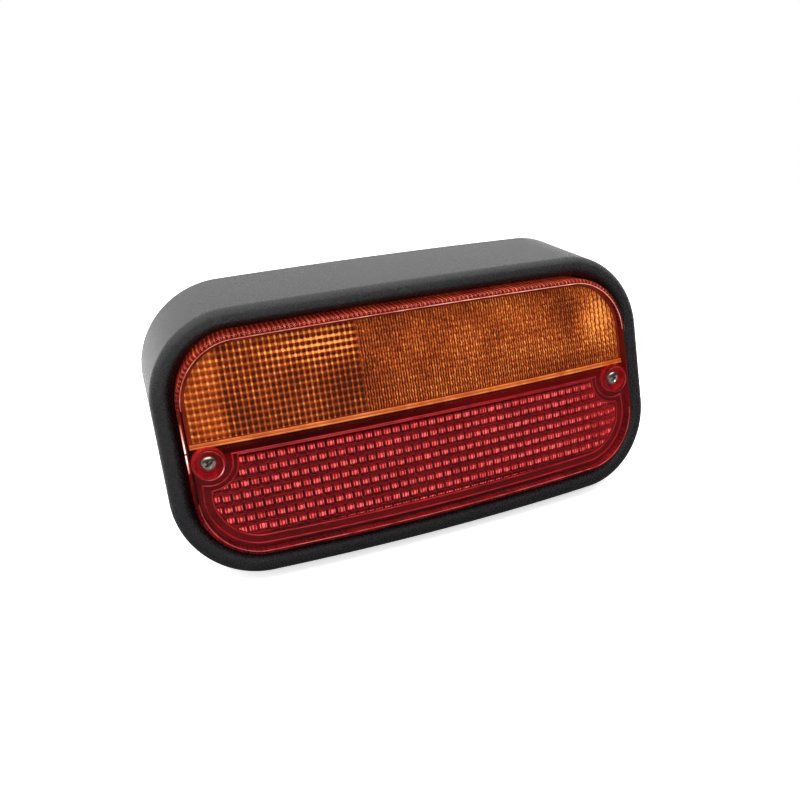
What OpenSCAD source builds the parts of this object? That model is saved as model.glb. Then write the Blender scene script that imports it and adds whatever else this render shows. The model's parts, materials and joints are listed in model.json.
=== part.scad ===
// Tail light cluster: one moulded body with a bowed two-colour lens, fixed from behind.
// X runs across the lamp, Z is up and the lens looks along -Y. The back face lies at Y = 0.

/* [Body] */
// Width over the rim
body_w = 260; // [240:1:290]
// Height over the rim, at mid-width
body_h = 130; // [120:1:150]
// Depth from the back face to the crest of the rim, at mid-width
body_d = 74; // [66:1:84]
// Radius of the rim's corners, seen from the front
corner_r = 41; // [36:1:46]
// How far the long edges rise at mid-width
edge_arch = 2; // [0.5:0.5:3]
// Radius of the bow across the face
face_r = 1600; // [1200:50:2400]
// Angle by which the face leans back, in degrees
face_lean = 8.5; // [0:0.5:12]
// How much each side grows towards the back
draft = 5; // [0:0.5:6]
// Width of the rounded rim, from its outside to the lens opening
rim_w = 10.3; // [9:0.1:14]
// Radius of the rim's outer roll
rim_roll = 4; // [2.5:0.5:5.5]
// Drop from the rim's crest to its inner edge
rim_fall = 7; // [4:0.5:9]
// Thickness of the outer skirt
skirt_t = 3.5; // [2.5:0.5:4.5]
// Thickness of the lamp well's wall
well_t = 3; // [2.5:0.5:4]
// Thickness of the back plate
plate_t = 5; // [4:0.5:7]

/* [Lens] */
// How far the lens stands above the crest of the rim
lens_proud = 4; // [2:0.5:8]
// Gap between the lens and the rim, all round
lens_gap = 0.4; // [0.3:0.1:0.8]
// Thickness of the lens face
lens_t = 3; // [2.5:0.25:4]
// Thickness of the lens's side wall
lens_wall = 2.5; // [2:0.25:3]
// Length of the lens's side wall below the inner edge of the rim
lens_skirt = 4; // [3:0.5:6]
// Fillet round the front edge of the lens
lens_fillet = 2; // [1:0.25:3]
// Height of the amber and red joint above the middle
seam_z = 2; // [-4:0.5:6]
// Depth of the web on each side of the joint
seam_web = 4; // [2:0.5:6]
// Radius of each screw pocket
pocket_r = 6.25; // [5.5:0.25:7]
// Depth of each screw pocket below the face of the lens
pocket_d = 4.4; // [3.5:0.1:5.5]
// Distance of each lens screw from the side edge of the lens
screw_inset = 9.9; // [8.2:0.1:14]
// Land between the joint and the edge of each screw pocket
pocket_land = 0.65; // [0.4:0.05:2]

/* [Lens optics] */
// Spacing of the flutes inside the amber half
flute_pitch = 2.75; // [2:0.25:5]
// Height of the flutes inside the amber half
flute_h = 0.8; // [0.4:0.1:1.2]
// Number of rows of blocks inside the red half
row_count = 7; // [5:1:10]
// Spacing of the blocks along a row
block_pitch = 4.75; // [4:0.25:7]
// Width of a block at its foot
block_w = 3.5; // [2.5:0.1:3.8]
// Height of a block
block_h = 1.4; // [0.8:0.1:2]
// Gap between two rows
row_gap = 0.9; // [0.6:0.1:1.5]
// Width of the plain border round the amber flutes
amber_border = 4.5; // [4:0.5:8]
// Width of the plain border round the red blocks
border_w = 8.5; // [6:0.5:11]
// Width of the plain band under the joint
band_w = 4.4; // [4:0.2:9]
// Width of the plain ring round each screw pocket
pocket_border = 5; // [3:0.5:7]
// Width of the bead round the rows of blocks
bead_w = 1; // [0.6:0.1:1.5]
// Height of the bead round the rows of blocks
bead_h = 0.8; // [0.4:0.1:1.2]

/* [Seal] */
// Thickness of the seal under the lens
seal_t = 2; // [1.5:0.25:3]
// Width of the seal
seal_w = 2.9; // [2:0.1:3.2]

/* [Fasteners] */
// Radius of a lens screw's shank
lens_screw_r = 2; // [1.5:0.25:2.5]
// Radius of a lens screw's head
lens_head_r = 3.7; // [3:0.1:4.5]
// Length of a lens screw below its head
lens_screw_l = 17; // [13:1:20]
// Outer radius of a lens screw's brass insert
lens_insert_r = 3.1; // [2.8:0.1:3.4]
// Length of a lens screw's brass insert
lens_insert_l = 10; // [8:1:12]
// Radius of a tray screw's shank
tray_screw_r = 1.75; // [1.5:0.25:2]
// Distance between the two fixings in the back
fixing_pitch = 152; // [120:2:170]
// Radius of the hole in a fixing insert
fixing_r = 3; // [2.5:0.5:4]
// Depth of a fixing insert
fixing_l = 12; // [10:1:14]

/* [Tray] */
// Height of the tray's floor above the back face
tray_z = 20; // [18:0.5:24]
// Thickness of the tray
tray_t = 1.8; // [1.5:0.1:2.5]
// Gap between the tray and the lamp well
tray_gap = 0.6; // [0.4:0.1:1.5]
// Distance of the tray's posts from the middle
post_x = 66; // [50:1:80]
// Distance of the tray's posts below the middle
post_drop = 14; // [11:1:20]

/* [Bulbs] */
// Distance of each bulb to the side of the middle
bulb_x = 24; // [18:1:40]
// Distance of each bulb above or below the joint
bulb_off = 27; // [24:1:32]
// Radius of a bulb's glass
bulb_r = 11.5; // [9:0.5:13]
// Radius of a bulb's cap
cap_r = 7.5; // [7:0.1:8]
// Length of a bulb's cap
cap_l = 16; // [14:1:18]
// Wall of a bulb holder
holder_t = 0.8; // [0.6:0.1:1.2]

/* [Cable entry] */
// Radius of the cable hole in the grommet
cable_r = 4.5; // [3:0.5:5]
// Outer radius of the grommet's flanges
grommet_r = 11; // [9.5:0.5:13]

/* [Hidden] */

corner_n = 12;
side_n = 10;
round_n = 48;
slack = 0.05;

// Levels from the back face to the front, at mid-width
rim_top = body_d;
rim_in = rim_top - rim_fall;
lens_front = rim_top + lens_proud;
lens_roof = lens_front - lens_t;
skirt_z = rim_in - lens_skirt;
seat_z = skirt_z - seal_t;
moat_z = seat_z - well_t - 1;

// Insets from the outline of the rim
t_lens = rim_w + lens_gap;
t_lens_in = t_lens + lens_wall;
t_well_in = t_lens + seal_w + 0.6;
t_well_out = t_well_in - well_t;
t_tray = t_well_in + tray_gap;

screw_x = body_w / 2 - t_lens - screw_inset;
screw_drop = pocket_r + pocket_land;
screw_z = seam_z - screw_drop;
pocket_floor = lens_front - fall_at(screw_x, screw_z) - pocket_d;
tower_top = pocket_floor - lens_t - 0.2;
tower_r = lens_insert_r + 1.5;
bulb_base = tray_z - 2;

// Fall of the bowed face at a distance from the middle
function drop_at(x) = face_r - sqrt(face_r * face_r - x * x);

// Fall of the bowed and leaned face at a point seen from the front
function fall_at(x, y) = drop_at(x) + tan(face_lean) * y;

// Upper half of the outline at an inset, from right to left
function half_outline(t) =
    let (a = body_w / 2 - t, b = body_h / 2 - edge_arch - t, r = corner_r - t)
    [for (p = concat(
        [for (i = [0:corner_n]) let (q = 90 * i / corner_n) [a - r + r * cos(q), b - r + r * sin(q)]],
        [for (i = [1:side_n - 1]) [(a - r) * (1 - 2 * i / side_n), b]],
        [for (i = [0:corner_n]) let (q = 90 + 90 * i / corner_n) [r - a + r * cos(q), b - r + r * sin(q)]]))
        [p[0], p[1] + edge_arch * (1 - p[0] * p[0] / (a * a)) * p[1] / b]];

// Whole outline at an inset
function outline(t) =
    let (h = half_outline(t), n = len(h))
    concat(h, [for (i = [n - 1:-1:0]) [h[i][0], -h[i][1]]]);

// One ring of a loft: inset, height at the middle, and 1 where the ring follows the face
function ring(s) = [for (p = outline(s[0])) [p[0], p[1], s[1] - s[2] * fall_at(p[0], p[1])]];

// A solid through stacked rings; a closed one runs back to its first ring
module loft(steps, closed = false) {
    n = 2 * (2 * (corner_n + 1) + side_n - 1);
    m = n / 2;
    k = len(steps);
    last = closed ? k : k - 1;
    points = [for (s = steps) each ring(s)];
    sides = [for (j = [0:last - 1]) for (i = [0:n - 1])
        let (a = j * n + i, b = ((j + 1) % k) * n + i,
             c = ((j + 1) % k) * n + (i + 1) % n, d = j * n + (i + 1) % n)
        each [[a, b, c], [a, c, d]]];
    low = [for (i = [0:m - 2]) [n - 1 - i, i, i + 1, n - 2 - i]];
    high = [for (i = [0:m - 2]) let (o = (k - 1) * n) [o + i, o + n - 1 - i, o + n - 2 - i, o + i + 1]];
    polyhedron(points = points, faces = closed ? sides : concat(low, sides, high));
}

// Everything is drawn face up, then stood on its edge so that the face looks along -Y
module stand() {
    rotate([90, 0, 0]) children();
}

// The rounded section of the rim, from the outer wall to the lens opening
rim_mid = rim_w * 0.575;
rim_reach = min(rim_roll, rim_mid * 0.9);
rim_steps = concat(
    [for (q = [0:15:75]) [rim_reach * (1 - cos(q)), rim_top - rim_roll * (1 - sin(q)), 1]],
    [for (q = [90:-22.5:0]) [rim_mid + (rim_w - rim_mid) * cos(q), rim_in + rim_fall * sin(q), 1]]);

module housing_shell() {
    loft(concat(
        [[t_well_out, 0, 0], [t_well_out, moat_z, 1], [skirt_t, moat_z, 1], [skirt_t - draft, 0, 0],
         [-draft, 0, 0]],
        rim_steps,
        [[rim_w, seat_z, 1], [t_well_in, seat_z, 1], [t_well_in, plate_t, 0]]));
}

// Where the two lens screws go down, on the left and on the right
module at_screws(side) {
    translate([side * screw_x, screw_z, 0]) children();
}

module housing_towers() {
    for (s = [-1, 1]) {
        at_screws(s) cylinder(r = tower_r, h = tower_top, $fn = round_n);
        translate([s > 0 ? screw_x : t_well_in - 1 - body_w / 2, screw_z - 2, plate_t - 1])
            cube([body_w / 2 - t_well_in + 1 - screw_x, 4, seat_z - fall_at(body_w / 2, screw_z) - plate_t]);
        translate([s * post_x, -post_drop, 1]) cylinder(r = 5, h = tray_z - 1, $fn = round_n);
        translate([s * fixing_pitch / 2, 0, 1]) cylinder(r = 9, h = fixing_l + 2, $fn = round_n);
    }
}

// Ribs that join the skirt to the lamp well, seen from behind
rib_t = 2.5;
module rib(edge, top) {
    linear_extrude(height = rib_t)
        polygon([[edge - t_well_out - 1, 4], [edge - skirt_t + draft + 1, 4],
                 [edge - skirt_t + 1, top], [edge - t_well_out - 1, top]]);
}

module housing_ribs() {
    for (x = [-75:50:75]) for (s = [-1, 1])
        let (edge = body_h / 2 - edge_arch * 4 * x * x / (body_w * body_w))
            mirror([0, s < 0 ? 1 : 0, 0]) translate([x - rib_t / 2, 0, 0]) rotate([90, 0, 90])
                rib(edge, moat_z + 1.5 - fall_at(x, s * (edge - skirt_t)));
    for (y = [-18, 18]) for (s = [-1, 1])
        mirror([s < 0 ? 1 : 0, 0, 0]) translate([0, y + rib_t / 2, 0]) rotate([90, 0, 0])
            rib(body_w / 2, moat_z + 1 - fall_at(body_w / 2, y));
}

module housing() {
    color("dimgray") stand() difference() {
        union() {
            housing_shell();
            housing_towers();
            housing_ribs();
        }
        for (s = [-1, 1]) {
            at_screws(s) translate([0, 0, tower_top - lens_screw_l])
                cylinder(r = lens_insert_r + slack, h = lens_screw_l + 1, $fn = round_n);
            translate([s * post_x, -post_drop, plate_t + 2])
                cylinder(r = tray_screw_r + slack, h = tray_z, $fn = round_n);
            translate([s * fixing_pitch / 2, 0, -1])
                cylinder(r = fixing_r + 1.5 + slack, h = fixing_l + 1, $fn = round_n);
        }
        translate([0, 0, -1]) cylinder(r = cable_r + 3, h = plate_t + 2, $fn = round_n);
        translate([0, 0, -1]) cylinder(r = grommet_r + 0.5, h = 3, $fn = round_n);
    }
}

lens_steps = concat(
    [[t_lens_in, lens_roof, 1], [t_lens_in, skirt_z, 1], [t_lens, skirt_z, 1]],
    [for (q = [0:22.5:90]) [t_lens + lens_fillet * (1 - cos(q)), lens_front - lens_fillet * (1 - sin(q)), 1]]);

module above_seam() {
    translate([-body_w, seam_z, 0]) cube([2 * body_w, body_h, 2 * body_d]);
}

module below_seam() {
    translate([-body_w, seam_z - body_h, 0]) cube([2 * body_w, body_h, 2 * body_d]);
}

// The web along the joint, whose top follows the bow of the face
module seam_rib(y0, w) {
    xs = [for (i = [-10:10]) i * (body_w / 2 - t_lens_in + 0.5) / 10];
    translate([0, y0 + w, 0]) rotate([90, 0, 0]) linear_extrude(height = w)
        polygon(concat([for (x = xs) [x, lens_roof + 1 - fall_at(x, seam_z)]],
                       [for (i = [20:-1:0]) [xs[i], lens_roof - seam_web - fall_at(xs[i], seam_z)]]));
}

// Prism over the whole face inside a border
module face_prism(inset) {
    linear_extrude(height = 3 * body_d) polygon(outline(t_lens + inset));
}

// Stands a profile that is drawn across the lens, leans it with the face and runs it from y0 to y1
module along_face(y0, y1) {
    translate([0, 0, lens_roof]) rotate([-face_lean, 0, 0]) translate([0, y1 / cos(face_lean), 0])
        rotate([90, 0, 0]) linear_extrude(height = (y1 - y0) / cos(face_lean)) children();
}

// Sawtooth flutes across the lens, hanging from the inside of its face
module flute_profile(pitch, h) {
    n = floor((body_w - 2 * t_lens - 2 * amber_border) / pitch) + 3;
    polygon(concat([for (i = [0:2 * n]) let (x = (i - n) * pitch / 2)
                        [x, (i % 2 == 0 ? 0.1 : -h) - drop_at(x)]],
                   [for (i = [2 * n:-4:0]) let (x = (i - n) * pitch / 2) [x, 1.5 - drop_at(x)]]));
}

module amber_flutes() {
    intersection() {
        along_face(seam_z + 2, body_h / 2) flute_profile(flute_pitch, flute_h);
        face_prism(amber_border);
    }
}

module lens_amber() {
    color("orange") stand() union() {
        intersection() {
            loft(lens_steps);
            above_seam();
        }
        seam_rib(seam_z, 1.5);
        amber_flutes();
    }
}

// The field of red blocks: inside the border, below the plain band and clear of the screw pockets
module red_panel(g) {
    difference() {
        intersection() {
            face_prism(border_w + g);
            translate([-body_w, seam_z - band_w - g - body_h, 0]) cube([2 * body_w, body_h, 3 * body_d]);
        }
        for (s = [-1, 1]) at_screws(s) translate([0, 0, -1])
            cylinder(r = pocket_r + pocket_border + g, h = 3 * body_d + 2, $fn = round_n);
    }
}

module red_bead() {
    intersection() {
        loft([[t_lens_in - 0.5, lens_roof - bead_h, 1], [t_lens_in - 0.5, lens_roof + 1, 1]]);
        difference() {
            red_panel(0);
            red_panel(bead_w);
        }
    }
}

// One row of blocks in section, hanging from the inside of the face
module block_profile() {
    n = floor((body_w / 2 - t_lens - border_w) / block_pitch);
    foot = block_w / 2;
    top = foot - 0.4;
    polygon(concat([for (i = [-n:n]) let (x = i * block_pitch)
                        each [[x - foot, 0.1 - drop_at(x)], [x - top, -block_h - drop_at(x)],
                              [x + top, -block_h - drop_at(x)], [x + foot, 0.1 - drop_at(x)]]],
                   [for (i = [n:-2:-n]) let (x = i * block_pitch) [x, 1.5 - drop_at(x)]]));
}

module red_rows() {
    high = seam_z - band_w - 2 * bead_w;
    low = -(body_h / 2 - t_lens - border_w - 2 * bead_w);
    pitch = (high - low) / row_count;
    intersection() {
        for (i = [0:row_count - 1])
            along_face(high - (i + 1) * pitch + row_gap, high - i * pitch) block_profile();
        red_panel(2 * bead_w);
    }
}

module pocket_bosses() {
    for (s = [-1, 1]) at_screws(s) intersection() {
        translate([0, 0, pocket_floor - lens_t])
            cylinder(r = pocket_r + 1.5, h = pocket_d + lens_t - 1.5, $fn = round_n);
        translate([-50, -50, 0]) cube([100, 50 + screw_drop, 200]);
    }
}

module lens_red() {
    color("red") stand() difference() {
        union() {
            intersection() {
                loft(lens_steps);
                below_seam();
            }
            seam_rib(seam_z - 1.5, 1.5);
            pocket_bosses();
            red_bead();
            red_rows();
        }
        for (s = [-1, 1]) at_screws(s) {
            translate([0, 0, pocket_floor]) cylinder(r = pocket_r, h = 20, $fn = round_n);
            translate([0, 0, pocket_floor - 10]) cylinder(r = lens_screw_r + 0.3, h = 20, $fn = round_n);
        }
    }
}

module lens_seal() {
    color("black") stand()
        loft([[t_lens + 0.2, seat_z + slack, 1], [t_lens + 0.2, skirt_z - slack, 1],
              [t_lens + seal_w, skirt_z - slack, 1], [t_lens + seal_w, seat_z + slack, 1]], closed = true);
}

// Centre of the bulb on the left (indicator, amber) or on the right (stop, red)
module at_bulb(s) {
    translate([s * bulb_x, seam_z - s * bulb_off, 0]) children();
}

module tray_divider() {
    w = body_w / 2 - t_tray - tray_t / 2;
    xs = [for (i = [-10:10]) i * w / 10];
    top = lens_roof - seam_web - 1.5 - tan(face_lean) * (seam_z + tray_t / 2);
    translate([0, seam_z + tray_t / 2, 0]) rotate([90, 0, 0]) linear_extrude(height = tray_t)
        polygon(concat([for (x = xs) [x, top - drop_at(x)]], [[w, tray_z + 0.5], [-w, tray_z + 0.5]]));
}

module reflector_tray() {
    color("white") stand() difference() {
        union() {
            loft([[t_tray, tray_z, 0], [t_tray, seat_z - 2, 1], [t_tray + tray_t, seat_z - 2, 1],
                  [t_tray + tray_t, tray_z + tray_t, 0]]);
            tray_divider();
        }
        for (s = [-1, 1]) {
            at_screws(s) translate([0, 0, 1]) cylinder(r = tower_r + 0.8, h = body_d, $fn = round_n);
            at_screws(s) translate([s * 10, 0, body_d / 2])
                cube([20, 6, body_d], center = true);
            at_bulb(s) cylinder(r = cap_r + 0.1 + holder_t + 0.1, h = body_d, $fn = round_n);
            translate([s * post_x, -post_drop, 0]) cylinder(r = tray_screw_r + 0.3, h = body_d, $fn = round_n);
        }
    }
}

module lens_screw(s) {
    color("silver") stand() at_screws(s) union() {
        translate([0, 0, pocket_floor]) cylinder(r = lens_head_r, h = 1.6, $fn = round_n);
        translate([0, 0, pocket_floor + 1.6]) rotate_extrude($fn = round_n)
            polygon(concat([[0, -0.5], [lens_head_r, -0.5]],
                           [for (q = [0:15:90]) [lens_head_r * cos(q), 1.3 * sin(q)]]));
        translate([0, 0, pocket_floor - lens_screw_l])
            cylinder(r = lens_screw_r - slack, h = lens_screw_l + 0.5, $fn = round_n);
    }
}

module lens_screw_left() {
    lens_screw(-1);
}

module lens_screw_right() {
    lens_screw(1);
}

module tube(r_out, r_in, h) {
    difference() {
        cylinder(r = r_out, h = h, $fn = round_n);
        translate([0, 0, -1]) cylinder(r = r_in, h = h + 2, $fn = round_n);
    }
}

module lens_insert(s) {
    color("gold") stand() at_screws(s) translate([0, 0, tower_top - lens_insert_l])
        tube(lens_insert_r, lens_screw_r, lens_insert_l);
}

module lens_insert_left() {
    lens_insert(-1);
}

module lens_insert_right() {
    lens_insert(1);
}

module tray_screw(s) {
    color("silver") stand() translate([s * post_x, -post_drop, tray_z + tray_t]) union() {
        cylinder(r = 2 * tray_screw_r, h = 2.4, $fn = round_n);
        translate([0, 0, -12]) cylinder(r = tray_screw_r, h = 13, $fn = round_n);
    }
}

module tray_screw_left() {
    tray_screw(-1);
}

module tray_screw_right() {
    tray_screw(1);
}

module fixing_insert(s) {
    color("gold") stand() translate([s * fixing_pitch / 2, 0, 0])
        tube(fixing_r + 1.5, fixing_r, fixing_l);
}

module fixing_insert_left() {
    fixing_insert(-1);
}

module fixing_insert_right() {
    fixing_insert(1);
}

module holder(s) {
    color("khaki") stand() at_bulb(s) union() {
        translate([0, 0, bulb_base - 8]) tube(cap_r + 0.1 + holder_t, cap_r + 0.1, cap_l + 4);
        translate([0, 0, tray_z - 1]) tube(cap_r + 5, cap_r + 0.1, 1);
    }
}

module indicator_holder() {
    holder(-1);
}

module stop_holder() {
    holder(1);
}

module insulator(s) {
    color("saddlebrown") stand() at_bulb(s) translate([0, 0, bulb_base - 8])
        cylinder(r = cap_r, h = 2.5, $fn = round_n);
}

module indicator_insulator() {
    insulator(-1);
}

module stop_insulator() {
    insulator(1);
}

cap_z = bulb_base - 8 + 2.5 + 1.6;

module bulb_cap(s) {
    color("silver") stand() at_bulb(s) union() {
        translate([0, 0, cap_z]) cylinder(r = cap_r, h = cap_l, $fn = round_n);
        translate([0, 0, cap_z - 1.6]) cylinder(r = 3, h = 1.8, $fn = round_n);
    }
}

module indicator_cap() {
    bulb_cap(-1);
}

module stop_cap() {
    bulb_cap(1);
}

module bulb_glass(s) {
    neck = bulb_r * 0.52;
    color("white") stand() at_bulb(s) translate([0, 0, cap_z + cap_l]) rotate_extrude($fn = round_n)
        polygon(concat([[0, 0], [neck, 0], [neck, 2]],
                       [for (q = [-50:10:80]) [bulb_r * cos(q), bulb_r * 1.05 + bulb_r * sin(q)]],
                       [[0, bulb_r * 2.05]]));
}

module indicator_glass() {
    bulb_glass(-1);
}

module stop_glass() {
    bulb_glass(1);
}

// A flat brass strip under one holder's insulator, with a blade towards the cable entry
module feed(s) {
    color("goldenrod") stand() translate([0, 0, bulb_base - 9]) union() {
        at_bulb(s) cylinder(r = 5, h = 1, $fn = round_n);
        translate([s * bulb_x - 3.15, min(seam_z - s * bulb_off, seam_z - s * 10), 0])
            cube([6.3, bulb_off - 10, 1]);
    }
}

module indicator_feed() {
    feed(-1);
}

module stop_feed() {
    feed(1);
}

// A strip under the tray's floor that joins the two holders to earth
module earth_strip() {
    color("goldenrod") stand() difference() {
        translate([0, 0, tray_z - 2]) union() {
            for (s = [-1, 1]) at_bulb(s) cylinder(r = cap_r + 5, h = 1, $fn = round_n);
            translate([-bulb_x - 4, seam_z - 4, 0]) cube([2 * bulb_x + 8, 8, 1]);
            for (s = [-1, 1]) translate([s * bulb_x - 4, min(seam_z - s * bulb_off, seam_z), 0])
                cube([8, bulb_off, 1]);
        }
        for (s = [-1, 1]) at_bulb(s) cylinder(r = cap_r + 0.1 + holder_t + 0.05, h = body_d, $fn = round_n);
    }
}

module cable_grommet() {
    color("black") stand() rotate_extrude($fn = round_n)
        polygon([[cable_r, 0.2], [grommet_r, 0.2], [grommet_r, 1.95], [cable_r + 2.95, 1.95],
                 [cable_r + 2.95, plate_t + 0.05], [grommet_r, plate_t + 0.05], [grommet_r - 1, plate_t + 2],
                 [cable_r, plate_t + 3]]);
}

housing();
lens_amber();
lens_red();
lens_seal();
reflector_tray();
lens_screw_left();
lens_screw_right();
lens_insert_left();
lens_insert_right();
tray_screw_left();
tray_screw_right();
fixing_insert_left();
fixing_insert_right();
indicator_holder();
stop_holder();
indicator_insulator();
stop_insulator();
indicator_cap();
stop_cap();
indicator_glass();
stop_glass();
indicator_feed();
stop_feed();
earth_strip();
cable_grommet();
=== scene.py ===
import json
import math
from contextlib import contextmanager

import bmesh
import bpy
import numpy as np
from bpy.props import FloatProperty, FloatVectorProperty, IntProperty, PointerProperty
from mathutils import Matrix, Vector


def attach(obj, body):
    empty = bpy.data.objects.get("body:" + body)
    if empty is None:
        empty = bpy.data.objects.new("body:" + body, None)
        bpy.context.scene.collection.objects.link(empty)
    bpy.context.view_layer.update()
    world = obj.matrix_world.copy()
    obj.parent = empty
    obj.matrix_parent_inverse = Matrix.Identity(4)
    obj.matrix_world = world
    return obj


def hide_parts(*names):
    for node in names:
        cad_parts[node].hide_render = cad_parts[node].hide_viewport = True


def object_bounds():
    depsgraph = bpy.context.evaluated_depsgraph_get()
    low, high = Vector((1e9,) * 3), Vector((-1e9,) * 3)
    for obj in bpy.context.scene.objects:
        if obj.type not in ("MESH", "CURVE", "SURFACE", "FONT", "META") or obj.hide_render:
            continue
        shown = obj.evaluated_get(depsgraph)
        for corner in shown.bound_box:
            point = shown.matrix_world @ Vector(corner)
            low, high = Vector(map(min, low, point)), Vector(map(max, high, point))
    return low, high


bl_info = {
    "name": "Tail light cluster",
    "version": (1, 0, 0),
    "blender": (4, 5, 0),
    "location": "3D View > Sidebar > Tail light",
    "description": "Builds the moulded body, the two-colour lens and the fittings of a tail light",
    "category": "Object",
}

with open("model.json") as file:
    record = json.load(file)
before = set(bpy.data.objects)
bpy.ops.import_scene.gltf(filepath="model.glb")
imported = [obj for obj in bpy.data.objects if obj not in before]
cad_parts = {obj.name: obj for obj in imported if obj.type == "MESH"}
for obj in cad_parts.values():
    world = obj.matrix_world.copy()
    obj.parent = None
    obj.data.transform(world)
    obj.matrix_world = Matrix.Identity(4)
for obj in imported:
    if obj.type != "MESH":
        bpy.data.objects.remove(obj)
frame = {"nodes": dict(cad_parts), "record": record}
cad_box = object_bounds()
MM = 0.001
FIXING_X = 76 * MM          # the two fixings in the back, each side of the middle
FIXING_BORE = 4.55 * MM
GROMMET_BORE = 11.5 * MM
TOWER_RADIUS = 4.6 * MM     # under each lens screw
RIB_PITCH = 50 * MM         # ribs between skirt and well, along the long sides
END_RIB_Y = 18 * MM         # and on the two ends
RIM_CREST = 0.575           # where the rim's crest stands, as a share of its width


def length(name, description, millimetres):
    """A length property whose default is given in millimetres."""
    return FloatProperty(name=name, description=description, default=millimetres * MM,
                         min=0.0, unit="LENGTH", precision=5)


def colour(name, description, rgb):
    """A linear colour property."""
    return FloatVectorProperty(name=name, description=description, default=rgb, size=3,
                               subtype="COLOR", min=0.0, max=1.0)


class BodySizes(bpy.types.PropertyGroup):
    """Sizes of the moulded body"""
    width: length("Width", "Width over the rim", 260)
    height: length("Height", "Height over the rim at mid-width", 130)
    depth: length("Depth", "Back face to the crest of the rim", 74)
    corner: length("Corner radius", "Radius of the rim's corners", 41)
    arch: length("Arch", "Rise of the long edges at mid-width", 2)
    bow: length("Bow radius", "Radius of the bow across the face", 1600)
    lean: FloatProperty(name="Lean", description="Angle by which the face leans back",
                        default=math.radians(8.5), subtype="ANGLE")
    draft: length("Draft", "Growth of each side towards the back", 5)
    rim: length("Rim width", "Outside of the rim to the lens opening", 10.3)
    roll: length("Rim roll", "Radius of the rim's outer roll", 4)
    fall: length("Rim fall", "Crest of the rim down to its inner edge", 7)
    skirt: length("Skirt", "Thickness of the outer skirt", 3.5)
    well: length("Well wall", "Thickness of the lamp well's wall", 3)
    plate: length("Back plate", "Thickness of the back plate", 5)
    grain: length("Grain", "Size of the moulded grain", 0.5)


class LensSizes(bpy.types.PropertyGroup):
    """Sizes of the two-colour lens"""
    proud: length("Stand", "Height of the lens above the rim", 3.97)
    gap: length("Gap", "Gap between lens and rim", 0.4)
    face: length("Face", "Thickness of the lens face", 3)
    wall: length("Wall", "Thickness of the lens's side wall", 2.5)
    skirt: length("Skirt", "Side wall below the rim's inner edge", 4)
    fillet: length("Fillet", "Fillet round the front edge", 2)
    joint: length("Joint", "Height of the joint above the middle", 2)
    seal: length("Seal", "Thickness of the seal", 2)
    seal_width: length("Seal width", "Width of the seal", 2.9)
    pocket: length("Pocket radius", "Radius of each screw pocket", 6.25)
    pocket_depth: length("Pocket depth", "Face down to the pocket floor", 4.4)
    screw_inset: length("Screw inset", "Lens edge to the screw", 9.9)
    screw_drop: length("Screw drop", "Joint down to the screw", 6.9)
    amber_border: length("Amber border", "Plain border round the amber cells", 4.5)
    border: length("Red border", "Plain border round the red blocks", 8.5)
    band: length("Band", "Plain band under the joint", 4.4)
    pocket_border: length("Pocket border", "Plain ring round each screw pocket", 5)
    bead: length("Bead", "Width of the beads round the red blocks", 1)
    cell_x: length("Amber cell width", "Spacing of the amber cells", 2.75)
    cell_y: length("Amber cell height", "Spacing of the amber rows", 3.3)
    block_x: length("Red block spacing", "Spacing of the red blocks", 4.75)
    rows: IntProperty(name="Red rows", description="Rows of red blocks", default=7, min=1)
    wall_rib: length("Wall rib", "Spacing of the ribs on the side wall", 2.3)


class Finishes(bpy.types.PropertyGroup):
    """Colours of the lamp's mouldings"""
    body: colour("Body", "Moulded body", (0.003, 0.0026, 0.0034))
    body_pale: colour("Pale body", "Rubbed grain of the body", (0.015, 0.0125, 0.0165))
    amber_deep: colour("Deep amber", "Darkest parts of the amber optics", (0.050, 0.010, 0.005))
    amber_low: colour("Low amber", "Shaded parts of the amber optics", (0.22, 0.042, 0.012))
    amber: colour("Amber", "Lit parts of the amber optics", (0.50, 0.125, 0.026))
    amber_high: colour("High amber", "Brightest parts of the amber optics", (0.96, 0.52, 0.15))
    red_deep: colour("Deep red", "Darkest parts of the red optics", (0.026, 0.001, 0.002))
    red_low: colour("Low red", "Shaded parts of the red optics", (0.16, 0.005, 0.008))
    red: colour("Red", "Lit parts of the red optics", (0.42, 0.020, 0.026))
    red_high: colour("High red", "Brightest parts of the red optics", (0.95, 0.25, 0.24))
    steel: colour("Steel", "Screws", (0.66, 0.62, 0.56))


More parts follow.
